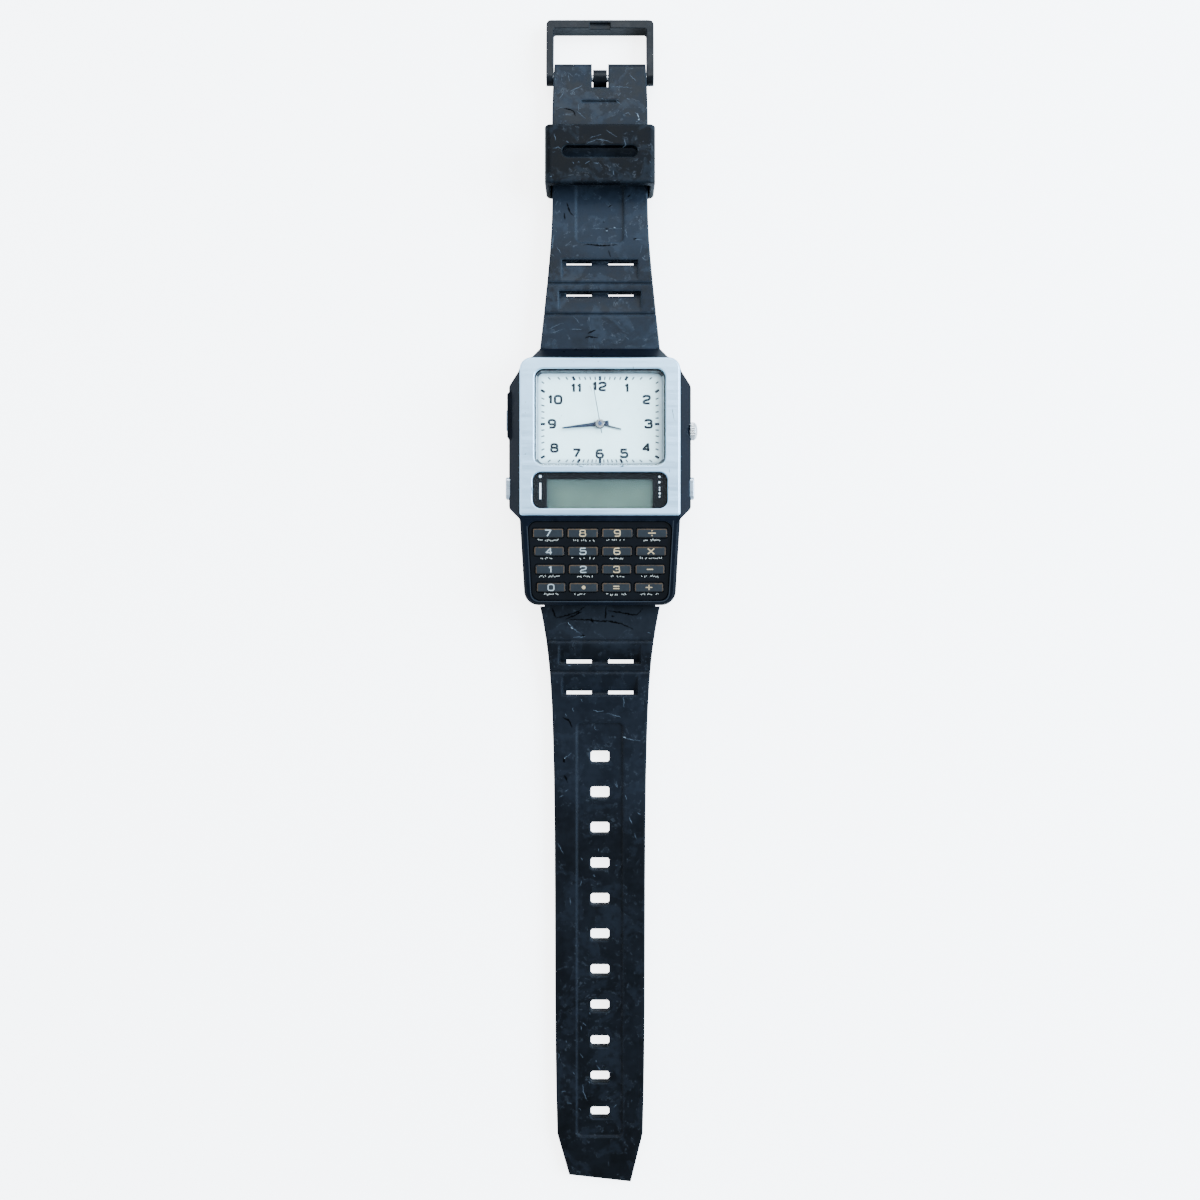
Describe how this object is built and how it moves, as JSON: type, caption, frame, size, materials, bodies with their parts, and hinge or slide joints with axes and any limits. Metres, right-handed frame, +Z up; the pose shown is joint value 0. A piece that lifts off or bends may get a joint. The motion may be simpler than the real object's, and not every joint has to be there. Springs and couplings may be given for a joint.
{
  "type": "calculator watch",
  "caption": "Wristwatch with an analogue dial over a digital window, a calculator keypad below, and a resin strap with buckle and keeper.",
  "frame": {"origin": "middle of the case back's flat outer face, on the surface that the watch lies on", "axes": "+Z up through the dial, +Y from the keypad toward the buckle half of the strap, +X toward the crown"},
  "size_m": [0.0374, 0.2299, 0.01],
  "materials": {
    "case_resin": "moulded resin, satin with rubbed edges",
    "bezel_metal": "straight brushed, bright bevels",
    "crystal": "clear mineral glass",
    "window": "clear acrylic",
    "frame_black": "black satin",
    "dial_paint": "satin off white",
    "lcd_glass": "grey green polariser",
    "connector_rubber": "striped elastomer",
    "keypad_gloss": "black gloss",
    "key_plastic": "worn dark slate",
    "membrane_rubber": "grey silicone",
    "contact_film": "amber film with carbon pads",
    "board": "green solder mask",
    "cell_steel": "bright can",
    "spring_steel": "bright",
    "movement_plastic": "natural moulding",
    "train_brass": "machined",
    "magnet": "dark",
    "coil_copper": "enamelled winding",
    "stator_iron": "soft iron",
    "back_steel": "circular brushed",
    "gasket_rubber": "matt",
    "hand_dark": "blue black gloss",
    "hand_grey": "grey satin",
    "crown_metal": "polished and worn",
    "button_metal": "satin and worn",
    "strap_resin": "blue black resin, scuffed",
    "buckle_resin": "black, polished by wear"
  },
  "bodies": {
    "case": {"case_body": "case_resin", "bezel": "bezel_metal", "display_frame": "frame_black", "dial_crystal": "crystal", "dial": "dial_paint", "lcd_window": "window", "lcd_panel": "lcd_glass", "lcd_connectors": "connector_rubber", "keypad_panel": "keypad_gloss", "keypad_membrane": "membrane_rubber", "keypad_contacts": "contact_film", "circuit_board": "board", "battery": "cell_steel", "battery_clip": "spring_steel", "movement_plate": "movement_plastic", "train_bridge": "movement_plastic", "motor_coil": "coil_copper", "motor_stator": "stator_iron", "case_back": "back_steel", "case_back_gasket": "gasket_rubber", "case_back_screws": "spring_steel", "spring_bars": "spring_steel"},
    "rotor": {"motor_rotor": "magnet"},
    "intermediate": {"intermediate_wheel": "train_brass"},
    "seconds": {"seconds_wheel": "train_brass", "second_hand": "hand_grey"},
    "third": {"third_wheel": "train_brass"},
    "centre": {"centre_wheel": "train_brass", "minute_hand": "hand_dark"},
    "motion": {"minute_wheel": "train_brass"},
    "hour": {"hour_wheel": "train_brass", "hour_hand": "hand_grey"},
    "crown_carriage": {"setting_lever": "spring_steel"},
    "crown_and_stem": {"crown": "crown_metal", "stem": "spring_steel"},
    "lower_right_button": {"button_lower_right": "button_metal"},
    "lower_left_button": {"button_lower_left": "button_metal"},
    "upper_left_button": {"button_upper_left": "button_metal"},
    "buckle_strap": {"strap_buckle_side": "strap_resin"},
    "keeper": {"strap_keeper": "strap_resin"},
    "buckle": {"buckle_frame": "buckle_resin", "buckle_bar": "spring_steel"},
    "tongue": {"buckle_tongue": "buckle_resin"},
    "hole_strap": {"strap_hole_side": "strap_resin"},
    "key_7": {"key_7": "key_plastic"},
    "key_8": {"key_8": "key_plastic"},
    "key_9": {"key_9": "key_plastic"},
    "key_divide": {"key_divide": "key_plastic"},
    "key_4": {"key_4": "key_plastic"},
    "key_5": {"key_5": "key_plastic"},
    "key_6": {"key_6": "key_plastic"},
    "key_multiply": {"key_multiply": "key_plastic"},
    "key_1": {"key_1": "key_plastic"},
    "key_2": {"key_2": "key_plastic"},
    "key_3": {"key_3": "key_plastic"},
    "key_minus": {"key_minus": "key_plastic"},
    "key_0": {"key_0": "key_plastic"},
    "key_point": {"key_point": "key_plastic"},
    "key_equals": {"key_equals": "key_plastic"},
    "key_plus": {"key_plus": "key_plastic"}
  },
  "joints": [
    {"name": "seconds_turn", "type": "hinge", "parent": "case", "child": "seconds", "pos_m": [0, 0.0099, 0.005], "axis": [0, 0, -1], "continuous": true},
    {"name": "rotor_turn", "type": "hinge", "parent": "case", "child": "rotor", "pos_m": [-0.00432, 0.00613, 0.005], "axis": [0, 0, -1], "continuous": true},
    {"name": "intermediate_turn", "type": "hinge", "parent": "case", "child": "intermediate", "pos_m": [-0.00206, 0.00695, 0.005], "axis": [0, 0, -1], "continuous": true},
    {"name": "third_turn", "type": "hinge", "parent": "case", "child": "third", "pos_m": [0, 0.0135, 0.005], "axis": [0, 0, -1], "continuous": true},
    {"name": "minutes_turn", "type": "hinge", "parent": "case", "child": "centre", "pos_m": [0, 0.0099, 0.005], "axis": [0, 0, -1], "continuous": true},
    {"name": "motion_turn", "type": "hinge", "parent": "case", "child": "motion", "pos_m": [0.00276, 0.00941, 0.005], "axis": [0, 0, -1], "continuous": true},
    {"name": "hours_turn", "type": "hinge", "parent": "case", "child": "hour", "pos_m": [0, 0.0099, 0.005], "axis": [0, 0, -1], "continuous": true},
    {"name": "crown_pull", "type": "slide", "parent": "case", "child": "crown_carriage", "axis": [1, 0, 0], "range_m": [0, 0.001]},
    {"name": "crown_turn", "type": "hinge", "parent": "crown_carriage", "child": "crown_and_stem", "pos_m": [0.01, 0.00895, 0.005], "axis": [1, 0, 0], "continuous": true},
    {"name": "key_7_press", "type": "slide", "parent": "case", "child": "key_7", "axis": [0, 0.0785, -0.9969], "range_m": [0, 0.0004], "stiffness_N_per_m": 800},
    {"name": "key_8_press", "type": "slide", "parent": "case", "child": "key_8", "axis": [0, 0.0785, -0.9969], "range_m": [0, 0.0004], "stiffness_N_per_m": 800},
    {"name": "key_9_press", "type": "slide", "parent": "case", "child": "key_9", "axis": [0, 0.0785, -0.9969], "range_m": [0, 0.0004], "stiffness_N_per_m": 800},
    {"name": "key_divide_press", "type": "slide", "parent": "case", "child": "key_divide", "axis": [0, 0.0785, -0.9969], "range_m": [0, 0.0004], "stiffness_N_per_m": 800},
    {"name": "key_4_press", "type": "slide", "parent": "case", "child": "key_4", "axis": [0, 0.0785, -0.9969], "range_m": [0, 0.0004], "stiffness_N_per_m": 800},
    {"name": "key_5_press", "type": "slide", "parent": "case", "child": "key_5", "axis": [0, 0.0785, -0.9969], "range_m": [0, 0.0004], "stiffness_N_per_m": 800},
    {"name": "key_6_press", "type": "slide", "parent": "case", "child": "key_6", "axis": [0, 0.0785, -0.9969], "range_m": [0, 0.0004], "stiffness_N_per_m": 800},
    {"name": "key_multiply_press", "type": "slide", "parent": "case", "child": "key_multiply", "axis": [0, 0.0785, -0.9969], "range_m": [0, 0.0004], "stiffness_N_per_m": 800},
    {"name": "key_1_press", "type": "slide", "parent": "case", "child": "key_1", "axis": [0, 0.0785, -0.9969], "range_m": [0, 0.0004], "stiffness_N_per_m": 800},
    {"name": "key_2_press", "type": "slide", "parent": "case", "child": "key_2", "axis": [0, 0.0785, -0.9969], "range_m": [0, 0.0004], "stiffness_N_per_m": 800},
    {"name": "key_3_press", "type": "slide", "parent": "case", "child": "key_3", "axis": [0, 0.0785, -0.9969], "range_m": [0, 0.0004], "stiffness_N_per_m": 800},
    {"name": "key_minus_press", "type": "slide", "parent": "case", "child": "key_minus", "axis": [0, 0.0785, -0.9969], "range_m": [0, 0.0004], "stiffness_N_per_m": 800},
    {"name": "key_0_press", "type": "slide", "parent": "case", "child": "key_0", "axis": [0, 0.0785, -0.9969], "range_m": [0, 0.0004], "stiffness_N_per_m": 800},
    {"name": "key_point_press", "type": "slide", "parent": "case", "child": "key_point", "axis": [0, 0.0785, -0.9969], "range_m": [0, 0.0004], "stiffness_N_per_m": 800},
    {"name": "key_equals_press", "type": "slide", "parent": "case", "child": "key_equals", "axis": [0, 0.0785, -0.9969], "range_m": [0, 0.0004], "stiffness_N_per_m": 800},
    {"name": "key_plus_press", "type": "slide", "parent": "case", "child": "key_plus", "axis": [0, 0.0785, -0.9969], "range_m": [0, 0.0004], "stiffness_N_per_m": 800},
    {"name": "lower_right_button_press", "type": "slide", "parent": "case", "child": "lower_right_button", "axis": [-1, 0, 0], "range_m": [0, 0.0006], "stiffness_N_per_m": 1500},
    {"name": "lower_left_button_press", "type": "slide", "parent": "case", "child": "lower_left_button", "axis": [1, 0, 0], "range_m": [0, 0.0006], "stiffness_N_per_m": 1500},
    {"name": "upper_left_button_press", "type": "slide", "parent": "case", "child": "upper_left_button", "axis": [1, 0, 0], "range_m": [0, 0.0004], "stiffness_N_per_m": 1500},
    {"name": "buckle_strap_hinge", "type": "hinge", "parent": "case", "child": "buckle_strap", "pos_m": [0, 0.0226, 0.0032], "axis": [1, 0, 0], "range_deg": [-75, 8]},
    {"name": "hole_strap_hinge", "type": "hinge", "parent": "case", "child": "hole_strap", "pos_m": [0, -0.0226, 0.0032], "axis": [-1, 0, 0], "range_deg": [-75, 8]},
    {"name": "keeper_slide", "type": "slide", "parent": "buckle_strap", "child": "keeper", "axis": [0, 1, 0], "range_m": [-0.005, 0.0003]},
    {"name": "buckle_hinge", "type": "hinge", "parent": "buckle_strap", "child": "buckle", "pos_m": [0, 0.0791, 0.0025], "axis": [1, 0, 0], "range_deg": [-45, 90]},
    {"name": "tongue_hinge", "type": "hinge", "parent": "buckle_strap", "child": "tongue", "pos_m": [0, 0.0791, 0.0025], "axis": [1, 0, 0], "range_deg": [0, 148]}
  ],
  "couplings": [
    {"joint": "intermediate_turn", "follows": "rotor_turn", "ratio": -0.2},
    {"joint": "seconds_turn", "follows": "rotor_turn", "ratio": 0.033333},
    {"joint": "third_turn", "follows": "rotor_turn", "ratio": -0.0044444},
    {"joint": "minutes_turn", "follows": "rotor_turn", "ratio": 0.00055556},
    {"joint": "motion_turn", "follows": "rotor_turn", "ratio": -0.00018519},
    {"joint": "hours_turn", "follows": "rotor_turn", "ratio": 0.000046296}
  ]
}
